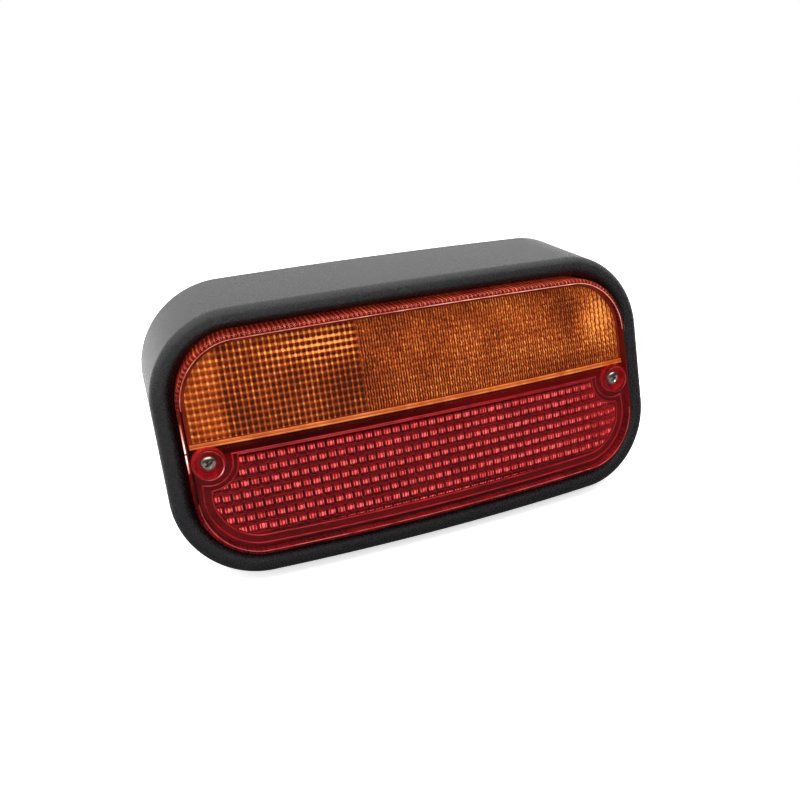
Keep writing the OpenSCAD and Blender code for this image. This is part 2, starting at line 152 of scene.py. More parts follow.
class Form:
    """The lamp's shape, worked out from its sizes: insets go inward from the rim's outline."""

    def __init__(self):
        self.b = bpy.context.scene.lamp_body
        self.l = bpy.context.scene.lamp_lens
        b, l = self.b, self.l
        self.t_lens = b.rim + l.gap
        self.t_lens_in = self.t_lens + l.wall
        self.t_well_in = self.t_lens + l.seal_width + 0.6 * MM
        self.t_well_out = self.t_well_in - b.well
        self.rim_in = b.depth - b.fall
        self.front = b.depth + l.proud
        self.roof = self.front - l.face
        self.skirt = self.rim_in - l.skirt
        self.seat = self.skirt - l.seal
        self.moat = self.seat - b.well - MM
        self.screw_x = b.width / 2 - self.t_lens - l.screw_inset
        self.screw_y = l.joint - l.screw_drop
        self.pocket_floor = self.front - self.fall(self.screw_x, self.screw_y) - l.pocket_depth
        self.tower = self.pocket_floor - l.face - 0.2 * MM
        self.cells_low = l.joint + 3.2 * MM
        self.field_top = l.joint - l.band
        self.rows_high = self.field_top - 2 * l.bead
        self.rows_low = -(b.height / 2 - self.t_lens - l.border - 2 * l.bead)
        self.row = (self.rows_high - self.rows_low) / l.rows

    def fall(self, x, y):
        """How far the bowed, leaned face lies behind its middle."""
        return self.b.bow - np.sqrt(self.b.bow ** 2 - x * x) + math.tan(self.b.lean) * y

    def half_widths(self, inset):
        """Half the width, half the height at the ends, and the corner radius, at an inset."""
        return (self.b.width / 2 - inset, self.b.height / 2 - self.b.arch - inset, self.b.corner - inset)

    def outline(self, inset, corner_n=28, side_n=24):
        """The outline at an inset, anticlockwise from the right, as an array of x and y."""
        a, b, r = self.half_widths(inset)
        q = np.linspace(0, np.pi / 2, corner_n + 1)
        right = np.stack([a - r + r * np.cos(q), b - r + r * np.sin(q)], 1)
        side = (a - r) * (1 - 2 * np.arange(1, side_n) / side_n)
        top = np.concatenate([right, np.stack([side, np.full(side_n - 1, b)], 1), right[::-1] * [-1, 1]])
        top[:, 1] += self.b.arch * (1 - (top[:, 0] / a) ** 2) * top[:, 1] / b
        return np.concatenate([top, top[::-1] * [1, -1]])

    def inside(self, x, y, inset):
        """Whether points lie inside the outline at an inset."""
        a, b, r = self.half_widths(inset)
        y = np.abs(y) / (1 + self.b.arch / b * (1 - np.minimum(1, (x / a) ** 2)))
        dx = np.maximum(np.abs(x) - (a - r), 0)
        dy = np.maximum(y - (b - r), 0)
        return (np.hypot(dx, dy) <= r) & (np.abs(x) <= a) & (y <= b)

    def place(self, x, y, level):
        """World points from a front-view x and y and a height above the back face."""
        return np.stack([x, -np.asarray(level) * np.ones_like(x), y], -1)

    def on_face(self, x, y, level):
        """World points at a level that falls away with the face."""
        return self.place(x, y, level - self.fall(x, y))

    def field_path(self, edge, top, reach):
        """A closed path round the red field: an inset from the lens, a height, a reach round each pocket."""
        edge = self.t_lens + edge
        start = np.pi - math.asin((top - self.screw_y) / reach)
        turn = np.linspace(start, start + np.pi, 200)
        arc_x, arc_y = self.screw_x + reach * np.cos(turn), self.screw_y + reach * np.sin(turn)
        stay = self.inside(arc_x, arc_y, edge)
        last = int(np.argmin(stay)) if not stay.all() else len(stay)
        side = self.outline(edge, 40, 60)
        side = side[(side[:, 1] < arc_y[last - 1] - 0.2 * MM) & (side[:, 0] > 0)]
        side = side[np.argsort(-np.arctan2(side[:, 1], side[:, 0]))]
        line = np.stack([np.linspace(0, arc_x[0], 40)[1:-1], np.full(38, top)], 1)
        half = np.concatenate([line, np.stack([arc_x[:last:5], arc_y[:last:5]], 1), side])
        return np.concatenate([half, half[::-1] * [-1, 1]])

    def ring(self, inset, level, follow=1):
        """The outline at an inset and a level, following the face by a share."""
        x, y = self.outline(inset).T
        return self.place(x, y, level - follow * self.fall(x, y))

    def normal(self, x):
        """The face's outward normal at a distance from the middle, in world axes."""
        slope = x / np.sqrt(self.b.bow ** 2 - x * x)
        n = np.stack([slope, -np.ones_like(x), np.full_like(x, math.tan(self.b.lean))], -1)
        return n / np.linalg.norm(n, axis=-1, keepdims=True)


# Meshes

def smooth(mesh, angle=35.0):
    """Smooth shading, except over edges sharper than an angle."""
    mesh.polygons.foreach_set("use_smooth", [True] * len(mesh.polygons))
    mesh.set_sharp_from_angle(angle=math.radians(angle))


def add_object(name, data):
    """Puts a new object with its data into the scene."""
    obj = bpy.data.objects.new(name, data)
    bpy.context.scene.collection.objects.link(obj)
    return obj


def make_mesh(name, points, faces, smooth_angle=35.0):
    """A mesh object from points and faces, smooth except over sharp edges."""
    mesh = bpy.data.meshes.new(name)
    mesh.from_pydata([tuple(p) for p in points], [], faces)
    mesh.validate()
    mesh.update()
    smooth(mesh, smooth_angle)
    return add_object(name, mesh)


def from_bmesh(name, bm, outwards=True):
    """A mesh object from finished bmesh work."""
    if outwards:
        bmesh.ops.recalc_face_normals(bm, faces=bm.faces)
    mesh = bpy.data.meshes.new(name)
    bm.to_mesh(mesh)
    bm.free()
    smooth(mesh)
    return add_object(name, mesh)


@contextmanager
def editing(obj):
    """Lends an object's mesh as a bmesh, and takes it back with every face turned outwards."""
    bm = bmesh.new()
    bm.from_mesh(obj.data)
    yield bm
    bmesh.ops.recalc_face_normals(bm, faces=bm.faces)
    bm.to_mesh(obj.data)
    bm.free()


def face_outwards(obj):
    """Turns every face of a closed skin outwards."""
    with editing(obj):
        return obj


def circle(n):
    """The angles of n points round a circle."""
    return np.linspace(0, 2 * np.pi, n, endpoint=False)


def bands(rows, n, across=True, around=False):
    """Faces between stacked rows of n points.

    across closes each row into a ring, and around joins the last row to the first.
    """
    faces = []
    for j in range(rows if around else rows - 1):
        low, high = j * n, (j + 1) % rows * n
        for i in range(n if across else n - 1):
            k = (i + 1) % n
            faces.append((low + i, low + k, high + k, high + i))
    return faces


def loft(form, name, steps):
    """A closed skin through stacked rings, with a cap at each end."""
    rings = [form.ring(*step) for step in steps]
    n, rows = len(rings[0]), len(rings)
    faces = bands(rows, n)
    last = (rows - 1) * n
    for i in range(n // 2 - 1):
        faces.append((n - 2 - i, i + 1, i, n - 1 - i))
        faces.append((last + i, last + i + 1, last + n - 2 - i, last + n - 1 - i))
    return make_mesh(name, np.concatenate(rings), faces)


def arc(start_inset, reach, level, height, angles):
    """Ring steps round a quarter roll: the inset and the level at each angle."""
    return [(start_inset + reach * (1 - math.cos(q)), level - height * (1 - math.sin(q)), 1)
            for q in np.radians(angles)]


def cylinder(form, name, x, y, low, high, radius):
    """A round solid that stands up from the back face."""
    segments = 64
    q = circle(segments)
    px, py = x + radius * np.cos(q), y + radius * np.sin(q)
    points = np.concatenate([form.place(px, py, low), form.place(px, py, high)])
    faces = bands(2, segments) + [tuple(range(segments))[::-1], tuple(range(segments, 2 * segments))]
    return make_mesh(name, points, faces)


def turned(name, profile, place, segments):
    """A turned solid from radius and height pairs with both ends on the axis, set in the world by place."""
    q = circle(segments)
    bm = bmesh.new()
    verts = [bm.verts.new(p) for r, z in profile for p in place(r * np.cos(q), r * np.sin(q), z)]
    for face in bands(len(profile), segments):
        bm.faces.new([verts[i] for i in face])
    bmesh.ops.remove_doubles(bm, verts=bm.verts, dist=1e-7)
    return from_bmesh(name, bm)


def cut_at_joint(obj, form, keep_upper, height=None):
    """Keeps the part of a closed skin above or below a level line and closes the cut."""
    z = form.l.joint if height is None else height
    with editing(obj) as bm:
        out = bmesh.ops.bisect_plane(bm, geom=bm.verts[:] + bm.edges[:] + bm.faces[:], dist=1e-7,
                                     plane_co=(0, 0, z), plane_no=(0, 0, 1),
                                     clear_inner=keep_upper, clear_outer=not keep_upper)
        edges = [e for e in out["geom_cut"] if isinstance(e, bmesh.types.BMEdge) and e.is_boundary]
        bmesh.ops.edgeloop_fill(bm, edges=edges)
    smooth(obj.data)
    return obj


def apply(obj, mod):
    """Keeps what a modifier makes as the object's own mesh, and removes the modifier."""
    mesh = bpy.data.meshes.new_from_object(obj.evaluated_get(bpy.context.evaluated_depsgraph_get()))
    obj.modifiers.remove(mod)
    obj.data = mesh


def combine(obj, other, operation):
    """Applies one exact boolean to obj and removes the other object."""
    mod = obj.modifiers.new("Cut", "BOOLEAN")
    mod.operation = operation
    mod.solver = "EXACT"
    mod.object = other
    apply(obj, mod)
    bpy.data.objects.remove(other)
    smooth(obj.data)
    return obj


def join(name, objects):
    """Joins finished skins into one object."""
    bm = bmesh.new()
    for o in objects:
        bm.from_mesh(o.data)
        bpy.data.objects.remove(o)
    return from_bmesh(name, bm, outwards=False)


# Repeated optics

def open_grid(name, points, rows, shaded=False):
    """A square grid of points, open underneath, for the optics to be made of."""
    mesh = bpy.data.meshes.new(name)
    mesh.from_pydata(points, [], bands(rows, rows, across=False))
    mesh.polygons.foreach_set("use_smooth", [shaded] * len(mesh.polygons))
    return add_object(name, mesh)


def cell_mesh(half_x, half_y, height):
    """One cell of the amber optics: a low cushion."""
    span = np.linspace(-1, 1, 6)
    points = [(u * half_x, v * half_y, (1 - u * u) * (1 - v * v) * height) for v in span for u in span]
    return open_grid("amber_cell", points, len(span), True)


def block_mesh(half_x, half_y, height):
    """One block of the red optics: its top slopes down towards its lower edge, and its sides are bevelled."""
    points = []
    for j, v in enumerate((-1.0, -0.86, 0.1, 0.86, 1.0)):
        for i, u in enumerate((-1.0, -0.86, 0.0, 0.86, 1.0)):
            edge = i in (0, 4) or j in (0, 4)
            top = height * (0.42 + 0.58 * (v + 1) / 2) * (0.92 if i in (1, 3) else 1.0)
            points.append((u * half_x, v * half_y, 0.0 if edge else top))
    return open_grid("red_block", points, 5)


def scatter(name, points, normals, cell, material):
    """Geometry Nodes set one cell on every point, turned to the face, and the result is kept as a mesh."""
    mesh = bpy.data.meshes.new(name)
    mesh.from_pydata([tuple(p) for p in points], [], [])
    layer = mesh.attributes.new("face_normal", "FLOAT_VECTOR", "POINT")
    layer.data.foreach_set("vector", np.asarray(normals, np.float32).ravel())
    obj = add_object(name, mesh)

    tree = bpy.data.node_groups.new(name + "_tree", "GeometryNodeTree")
    sockets = {label: tree.interface.new_socket(label, in_out="INPUT", socket_type="NodeSocket" + kind)
               for label, kind in (("Geometry", "Geometry"), ("Cell", "Object"), ("Cell scale", "Float"))}
    tree.interface.new_socket("Geometry", in_out="OUTPUT", socket_type="NodeSocketGeometry")
    kinds = {"in": "NodeGroupInput", "out": "NodeGroupOutput", "info": "GeometryNodeObjectInfo",
             "copies": "GeometryNodeInstanceOnPoints", "named": "GeometryNodeInputNamedAttribute",
             "align": "FunctionNodeAlignRotationToVector", "realize": "GeometryNodeRealizeInstances",
             "paint": "GeometryNodeSetMaterial"}
    nodes = {key: tree.nodes.new(kind) for key, kind in kinds.items()}
    nodes["named"].data_type = "FLOAT_VECTOR"
    nodes["named"].inputs["Name"].default_value = "face_normal"
    nodes["align"].axis, nodes["align"].pivot_axis = "Z", "AUTO"
    nodes["paint"].inputs["Material"].default_value = material
    for source, output, target, entry in (
            ("in", "Geometry", "copies", "Points"), ("in", "Cell", "info", "Object"),
            ("info", "Geometry", "copies", "Instance"), ("named", "Attribute", "align", "Vector"),
            ("align", "Rotation", "copies", "Rotation"), ("in", "Cell scale", "copies", "Scale"),
            ("copies", "Instances", "realize", "Geometry"), ("realize", "Geometry", "paint", "Geometry"),
            ("paint", "Geometry", "out", "Geometry")):
        tree.links.new(nodes[source].outputs[output], nodes[target].inputs[entry])

    mod = obj.modifiers.new("Optics", "NODES")
    mod.node_group = tree
    mod[sockets["Cell"].identifier] = cell
    mod[sockets["Cell scale"].identifier] = 1.0
    apply(obj, mod)
    bpy.data.objects.remove(cell)
    return obj


def lay_grid(count, pitch, low, rows, row):
    """The middles of a grid of cells: count each side of the middle, and rows from the lowest up."""
    x, y = np.meshgrid(np.arange(-count, count + 1) * pitch, low + (np.arange(rows) + 0.5) * row)
    return x.ravel(), y.ravel()


# Materials

class Value:
    """A shader socket that takes part in Python expressions."""

    def __init__(self, tree, socket):
        self.tree, self.socket = tree, socket

    def math(self, operation, *others):
        node = self.tree.nodes.new("ShaderNodeMath")
        node.operation = operation
        for place, item in enumerate((self,) + others):
            plug(self.tree, item, node.inputs[place])
        return Value(self.tree, node.outputs[0])

    def __add__(self, o): return self.math("ADD", o)
    def __radd__(self, o): return self.math("ADD", o)
    def __mul__(self, o): return self.math("MULTIPLY", o)
    def __rmul__(self, o): return self.math("MULTIPLY", o)
    def __sub__(self, o): return self.math("SUBTRACT", o)
    def __truediv__(self, o): return self.math("DIVIDE", o)
    def __pow__(self, o): return self.math("POWER", o)
    def __neg__(self): return self.math("MULTIPLY", -1.0)

    def __rsub__(self, o):
        return -self + o

    def clamp(self):
        return self.math("MINIMUM", 1.0).math("MAXIMUM", 0.0)


def plug(tree, item, socket):
    """Links a wrapped or plain socket, or sets a number, colour or vector."""
    if isinstance(item, Value):
        item = item.socket
    if isinstance(item, bpy.types.NodeSocket):
        tree.links.new(item, socket)
    elif socket.type == "RGBA":
        socket.default_value = (*item[:3], 1.0)
    else:
        socket.default_value = item


class Finish:
    """A material whose surface is one Principled shader, written as expressions."""

    def __init__(self, name):
        self.material = bpy.data.materials.new(name)
        self.material.use_nodes = True
        self.tree = self.material.node_tree
        self.tree.nodes.clear()
        self.output = self.tree.nodes.new("ShaderNodeOutputMaterial")
        self.position = Value(self.tree, self.node("ShaderNodeTexCoord").outputs["Object"])

    def node(self, kind, settings=None, **inputs):
        """A new node with its settings, and its inputs plugged by name."""
        node = self.tree.nodes.new(kind)
        for key, value in (settings or {}).items():
            setattr(node, key, value)
        for key, value in inputs.items():
            plug(self.tree, value, node.inputs[key.replace("_", " ")])
        return node

    def axis(self, name):
        return Value(self.tree, self.node("ShaderNodeSeparateXYZ", Vector=self.position).outputs[name])

    def noise(self, scale, detail=2.0, roughness=0.5, stretch=None):
        place = self.position
        if stretch:
            place = self.node("ShaderNodeMapping", Vector=place, Scale=stretch).outputs["Vector"]
        return Value(self.tree, self.node("ShaderNodeTexNoise", Vector=place, Scale=scale,
                                          Detail=detail, Roughness=roughness).outputs["Fac"])

    def mix(self, factor, a, b):
        """A mix of two colours."""
        node = self.node("ShaderNodeMix", {"data_type": "RGBA"})
        for item, place in ((factor, 0), (a, 6), (b, 7)):
            plug(self.tree, item, node.inputs[place])
        return node.outputs[2]

    def bump(self, height, strength, distance):
        node = self.node("ShaderNodeBump", Strength=strength, Distance=distance, Height=height)
        return node.outputs["Normal"]

    def step(self, value, low, high):
        """A smooth rise from 0 at low to 1 at high."""
        node = self.node("ShaderNodeMapRange", {"interpolation_type": "SMOOTHSTEP"}, Value=value,
                         From_Min=low, From_Max=high, To_Min=0.0, To_Max=1.0)
        return Value(self.tree, node.outputs[0])

    def band(self, value, low, high):
        """1 near zero, on either side, and 0 beyond: it fades from low to high."""
        return 1 - self.step(value.math("ABSOLUTE"), low, high)

    def ramp(self, value, stops):
        """The colour at a value, between stops of place and colour."""
        node = self.node("ShaderNodeValToRGB", Fac=value)
        elements = node.color_ramp.elements
        while len(elements) < len(stops):
            elements.new(0.5)
        for element, (place, rgb) in zip(elements, stops):
            element.position, element.color = place, (*rgb, 1)
        return node.outputs["Color"]

    def within(self, place, pitch, start=0.0):
        """Place inside a repeat: -0.5 to 0.5, with 0 at its middle."""
        return ((place - start) / pitch + 0.5).math("FRACT") - 0.5

    def blob(self, x, z, wide, tall):
        """A soft patch on the face, 1 at its middle."""
        return self.bell((self.axis("X") - x) / wide, (self.axis("Z") - z) / tall)

    def bell(self, u, v):
        return (-(u * u + v * v)).math("EXPONENT")

    def attribute(self, name):
        return Value(self.tree, self.node("ShaderNodeAttribute", {"attribute_name": name}).outputs["Fac"])

    def surface(self, **inputs):
        shader = self.node("ShaderNodeBsdfPrincipled", **inputs)
        self.tree.links.new(shader.outputs[0], self.output.inputs["Surface"])
        return shader

    def glow(self, level, stops, roughness, strength, specular=0.5):
        """A surface whose tone, and a faint painted glow that stands in for the light the reflector sends
        back through the lens, come from one level.
        """
        base = self.ramp(level.clamp(), stops)
        self.surface(Base_Color=base, Roughness=roughness, Specular_IOR_Level=specular, Emission_Color=base,
                     Emission_Strength=strength)
        return self.material

    def blend(self, factor, first, second):
        """A surface that mixes two shader nodes."""
        mix = self.node("ShaderNodeMixShader")
        for item, socket in zip((factor, first.outputs[0], second.outputs[0]), mix.inputs):
            plug(self.tree, item, socket)
        self.tree.links.new(mix.outputs[0], self.output.inputs["Surface"])


def direct(tree):
    """1 for rays that come straight from the camera or through a clear skin."""
    path = tree.nodes.new("ShaderNodeLightPath")
    return Value(tree, path.outputs["Is Camera Ray"]).math("MAXIMUM", path.outputs["Is Transmission Ray"])


def body_finish():
    """Black moulding with a fine spark-eroded grain, paler where the grain stands up."""
    sizes, tints = bpy.context.scene.lamp_body, bpy.context.scene.lamp_finish
    f = Finish("body_grain")
    grain = f.noise(1.0 / sizes.grain, 2.0, 0.6)
    fine = f.noise(2.6 / sizes.grain, 1.0, 0.5)
    cloud = f.noise(26.0, 3.0)
    peaks = f.step(grain * 0.6 + fine * 0.4, 0.42, 0.66)
    wear = (peaks * 0.75 + cloud * 0.25).clamp()
    f.surface(Base_Color=f.mix(wear, tuple(tints.body), tuple(tints.body_pale)),
              Roughness=(0.19 + 0.05 * cloud + 0.10 * peaks).clamp(),
              Normal=f.bump(grain + fine * 0.5, 0.65, 0.0006))
    return f.material


def plain_finish(name, base, roughness, metallic=0.0, wear=0.25, scale=60.0):
    """A moulded or metal surface with faint uneven tone and gloss."""
    f = Finish(name)
    cloud = f.noise(scale, 3.0, 0.6)
    dark = tuple(c * (1 - wear) for c in base)
    f.surface(Base_Color=f.mix(cloud, dark, base), Metallic=metallic,
              Roughness=(roughness * 0.8 + roughness * 0.5 * cloud).clamp())
    return f.material


def stops(family, low, lit):
    """The four tones of the amber or the red optics, and where on the ramp they stand."""
    t = bpy.context.scene.lamp_finish
    names = (family + "_deep", family + "_low", family, family + "_high")
    return tuple((place, tuple(getattr(t, name))) for place, name in zip((0.0, low, lit, 1.0), names))


def amber_stops():
    return stops("amber", 0.35, 0.68)


def red_stops():
    return stops("red", 0.32, 0.66)


WALL_STOPS = ((0.0, (0.045, 0.003, 0.003)), (0.4, (0.13, 0.011, 0.008)), (0.75, (0.30, 0.040, 0.020)),
              (1.0, (0.62, 0.17, 0.06)))
GRID_END = -0.032       # where the grid of cells gives way to the finer weave
FAR_LEFT = -0.0985      # left of it the cells are paler


def amber_finish(form):
    """Amber optics with their light painted in: bright ridges round dark cells as painted highlight and
    shade, and painted light at the left top and at the right end.
    """
    l = form.l
    f = Finish("amber_optics")
    x, z = f.axis("X"), f.axis("Z")

    # painted light and shade from the reflector behind: where the optics are lit, and where they are dim
    left = 1 - f.step(x, GRID_END - 0.0015, GRID_END + 0.0020)
    far_left = 1 - f.step(x, FAR_LEFT - 0.0025, FAR_LEFT + 0.0025)
    low = 1 - f.step(z, 0.010, 0.030)
    lit = f.blob(-0.047, 0.0415, 0.026, 0.0080)
    end = f.blob(0.105, 0.030, 0.011, 0.018)
    shade = 0.3 * f.blob(-0.060, 0.015, 0.040, 0.014) + 1.3 * f.blob(-0.036, 0.019, 0.013, 0.014)
    far_shade = f.blob(0.082, 0.036, 0.009, 0.014) + f.blob(0.088, 0.008, 0.024, 0.006)

    # uneven tone, from broad to fine
    cloud = f.noise(60.0, 3.0, 0.6) + 0.6 * f.noise(16.0, 1.0) - 0.8
    patch = f.noise(1.0, 1.0, 0.5, (330.0, 1.0, 280.0)) - 0.5
    stroke = f.noise(1.0, 2.0, 0.6, (900.0, 1.0, 260.0)) - 0.5
    fleck = f.noise(1.0, 1.0, 0.5, (1100.0, 1.0, 800.0)) - 0.5

    # the grid at the left, and the weave of fine ribs to its right: their bright ridges are painted
    # highlights
    upright = f.step(f.within(x, l.cell_x).math("ABSOLUTE"), 0.22, 0.44)
    bar = f.step((f.within(z, l.cell_y, form.cells_low + l.cell_y / 2) + 0.06).math("ABSOLUTE"), 0.16, 0.42)
    grid = 0.62 * upright + (0.30 + 0.75 * lit + 0.30 * far_left) * bar - 0.42
    grid = grid * (0.85 + 1.5 * patch) * (1 - 0.45 * far_left) + 0.05
    wobble = x + (f.noise(1.0, 1.0, 0.5, (260.0, 1.0, 420.0)) - 0.5) * 0.0008
    rib = f.step(f.within(wobble, l.cell_x / 2).math("ABSOLUTE"), 0.12, 0.40)
    weave = (0.50 + 0.20 * low) * (rib - 0.45) + (0.85 - 0.30 * low) * stroke + 0.60 * fleck
    weave = weave + 0.60 * end * (upright - 0.35) + 0.03 - 0.05 * low

    level = 0.31 + left * grid + (1 - left) * weave - 0.06 * lit + 0.12 * far_left + 0.34 * end
    level = level - 0.12 * shade - 0.26 * far_shade + 0.52 * cloud + 0.40 * fleck
    return f.glow(level, amber_stops(), 0.5, 0.5, 0.12)


def red_finish(form):
    """Red optics with their light painted in: rows of blocks with painted bright tops, painted glints and a
    painted highlight line along each row's lower edge, painted shade in the dark gaps between them, hazy at
    the right end.
    """
    f = Finish("red_optics")
    u = f.within(f.axis("X"), form.l.block_x)
    v = f.within(f.axis("Z"), form.row, form.rows_low + form.row / 2)
    block = f.band(u, 0.29, 0.43)
    # painted highlight: the upper part of each block is painted bright
    cap = f.step(v, -0.22, 0.02) * (1 - f.step(v, 0.30, 0.46))
    streak = 0.5 + 0.5 * (u * (2 * math.pi * 3.0)).math("COSINE")
    patch = f.noise(1.0, 1.0, 0.5, (260.0, 1.0, 260.0))
    tops = block * cap * (0.40 + 0.45 * streak + 0.5 * (patch - 0.4))
    # painted glint spots on the blocks, and a painted highlight line along the lower edge of each row
    painted_glint = f.bell((u - 0.06) / 0.11, (v - 0.16) / 0.13) * f.step(patch, 0.42, 0.62)
    line = f.band(v + 0.34, 0.02, 0.07)
    haze = f.step(f.axis("X"), 0.068, 0.108)
    level = 0.18 * haze + 0.05 + (tops * 1.06 + 0.42 * painted_glint + 0.34 * line) * (1 - 0.45 * haze)
    level = level + 0.30 * (f.noise(75.0, 3.0, 0.6) - 0.5) + 0.52 * (f.noise(700.0, 1.0) - 0.5)
    return f.glow(level, red_stops(), 0.45, 0.5, 0.12)


def red_border_finish(form):
    """The plain red round the blocks: dark along the bottom and at the left of the band under the joint."""
    f = Finish("red_border_tone")
    z = f.axis("Z")
    band = f.step(z, form.field_top - MM, form.field_top + MM)
    cloud = f.noise(55.0, 3.0, 0.6, (0.35, 1.0, 1.6)) - 0.5
    low = 1 - f.step(z, -0.0515, -0.0495)
    level = 0.18 + (0.16 * f.step(f.axis("X"), -0.04, 0.06) - 0.15) * band - 0.30 * low + 0.34 * cloud
    return f.glow(level, red_stops(), 0.4, 0.35, 0.12)


def wall_finish(name, tones, lift=0.0):
    """The side wall: fine upright ribs with painted highlights on them, and painted light that is clear along
    the top and dim below.
    """
    f = Finish(name)
    # painted light: brighter towards the top, dim below
    high = f.step(f.axis("Z"), 0.010, 0.046)
    cloud = f.noise(45.0, 3.0, 0.6) - 0.5
    streak = f.noise(1.0, 2.0, 0.6, (900.0, 40.0, 40.0)) - 0.5
    # painted highlights along the ribs
    rib = f.step(f.attribute("relief"), 0.25, 0.95)
    level = 0.13 + lift + 0.08 * high + (0.08 + 0.46 * high) * rib + 0.7 * cloud + 0.6 * streak
    return f.glow(level, tones, 0.5, 0.55, 0.0)


def line_finish(name, tones, level):
    """A bead painted with the light that it gathers along its length."""
    f = Finish(name)
    return f.glow(level + 0.5 * (f.noise(120.0, 2.0) - 0.5), tones, 0.2, 0.45)


def glint_finish(name, level=0.22, patch=None, pale=(0.95, 0.62, 0.58), strength=0.5):
    """A painted highlight: the pale line that the lens's edge gathers, broken, and stronger along the top
    right or at a patch.
    """
    f = Finish(name)
    if patch:
        lit = f.blob(*patch) * 0.9
    else:
        lit = (0.24 + 0.26 * f.step(f.axis("X"), -0.05, 0.03)) * f.step(f.axis("Z"), -0.03, 0.045)
    tones = ((0.0, (0.16, 0.010, 0.010)), (0.5, (0.50, 0.14, 0.12)), (1.0, pale))
    return f.glow(level + lit + 1.1 * (f.noise(160.0, 3.0, 0.6) - 0.5), tones, 0.2, strength)


def streak_finish(name, height, tall):
    """A painted reflection: the white glint on the lens's left edge, brightest at a height."""
    return glint_finish(name, 0.1, (-0.119, height, 0.01, tall), (0.97, 0.95, 0.94), 1.3)


def clear_finish(name, tint):
    """A clear coloured skin: tinted see-through, with gloss that grows towards its edges."""
    f = Finish(name)
    gloss = f.node("ShaderNodeBsdfPrincipled", Base_Color=(1.0, 0.93, 0.92), Metallic=1.0, Roughness=0.03)
    glass = f.node("ShaderNodeBsdfTransparent", Color=tint)
    facing = Value(f.tree, f.node("ShaderNodeLayerWeight", Blend=0.5).outputs["Facing"])
    f.blend(facing ** 5 * 0.15 + 0.010, glass, gloss)
    return f.material


def give(obj, material):
    obj.data.materials.clear()
    obj.data.materials.append(material)


def settle(obj, material, slot, *nodes):
    """Gives a piece its material and its body, and hides the nodes that it stands for. The slot is not used.
    """
    if material:
        give(obj, material)
    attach(obj, "root")
    if nodes:
        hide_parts(*nodes)


def settle_lens(obj, material, half):
    """Settles a piece of one half of the lens, which is also the node that it stands for."""
    settle(obj, material, half, half)


class BuildHousing(bpy.types.Operator):
    """Moulds the body: rounded rim, drafted skirt, lamp well, ribs and bosses behind"""
    bl_idname = "lamp.housing"
    bl_label = "Housing"

    def execute(self, context):
        g = Form()
        b = g.b
        crest = b.rim * RIM_CREST
        roll = arc(0, min(b.roll, 0.9 * crest), b.depth, b.roll, np.linspace(0, 78, 12))
        inner = [(crest + (b.rim - crest) * math.cos(q), g.rim_in + b.fall * math.sin(q), 1)
                 for q in np.radians(np.linspace(90, 0, 14))]
        wall = [(-b.draft * (1 - k), (b.depth - b.roll) * k, k) for k in (0.0, 0.02, 0.5, 0.98)]
        shell = loft(g, "housing_moulding",
                     [(g.t_well_out, 0, 0), (g.t_well_out, g.moat, 1), (b.skirt, g.moat, 1),
                      (b.skirt - b.draft, 0, 0)] + wall + roll + inner
                     + [(b.rim, g.seat, 1), (g.t_well_in, g.seat, 1), (g.t_well_in, b.plate, 0)])
        for x, depth, bore in ((-FIXING_X, 4 * MM, FIXING_BORE), (FIXING_X, 4 * MM, FIXING_BORE),
                               (0.0, 2 * MM, GROMMET_BORE)):
            shell = combine(shell, cylinder(g, "cut", x, 0.0, -10 * MM, depth, bore), "DIFFERENCE")
        ribs = []
        for x in np.arange(-1.5, 2) * RIB_PITCH:
            for s in (-1, 1):
                edge = b.height / 2 - b.arch * (2 * x / b.width) ** 2
                top = g.moat + 1.5 * MM - g.fall(x, s * (edge - b.skirt))
                ribs.append(self.rib(g, edge, top, lambda u, z, w, x=x, s=s: (x + w, -z, s * u)))
        for y in (-END_RIB_Y, END_RIB_Y):
            for s in (-1, 1):
                top = g.moat + MM - g.fall(b.width / 2, y)
                ribs.append(self.rib(g, b.width / 2, top, lambda u, z, w, y=y, s=s: (s * u, -z, y + w)))
        towers = [cylinder(g, "tower", s * g.screw_x, g.screw_y, b.plate - MM, g.tower, TOWER_RADIUS)
                  for s in (-1, 1)]
        body = join("lamp_body", [shell] + ribs + towers)
        settle(body, body_finish(), "housing_black", "housing")
        return {"FINISHED"}

    @staticmethod
    def rib(g, edge, top, place):
        """One rib between the skirt and the well, as a tapered plate."""
        b = g.b
        profile = [(edge - g.t_well_out - MM, 4 * MM), (edge - b.skirt + b.draft + MM, 4 * MM),
                   (edge - b.skirt + MM, top), (edge - g.t_well_out - MM, top)]
        points = [place(u, z, side * 1.25 * MM) for side in (-1, 1) for u, z in profile]
        faces = [(0, 1, 2, 3), (7, 6, 5, 4)] + [(i, i + 4, (i + 1) % 4 + 4, (i + 1) % 4) for i in range(4)]
        return face_outwards(make_mesh("rib", points, faces))


def lens_skin(g, name):
    """The clear skin of the whole lens: face, filleted edge and side wall."""
    l = g.l
    edge = arc(g.t_lens, l.fillet, g.front, l.fillet, np.linspace(0, 90, 9))
    t = edge[-1][0]
    return loft(g, name, [(g.t_lens_in, g.roof, 1), (g.t_lens_in, g.skirt, 1), (g.t_lens, g.skirt, 1)]
                + edge + [(t + 0.2 * MM, g.front, 1), (t + 0.6 * MM, g.front, 1)])


def lens_bed(g, name, depth):
    """The coloured layer under the clear face that carries the optics."""
    t, thick = g.t_lens_in + 0.05 * MM, 0.6 * MM
    return loft(g, name, [(t, g.roof - depth - thick, 1), (t, g.roof - depth, 1)])


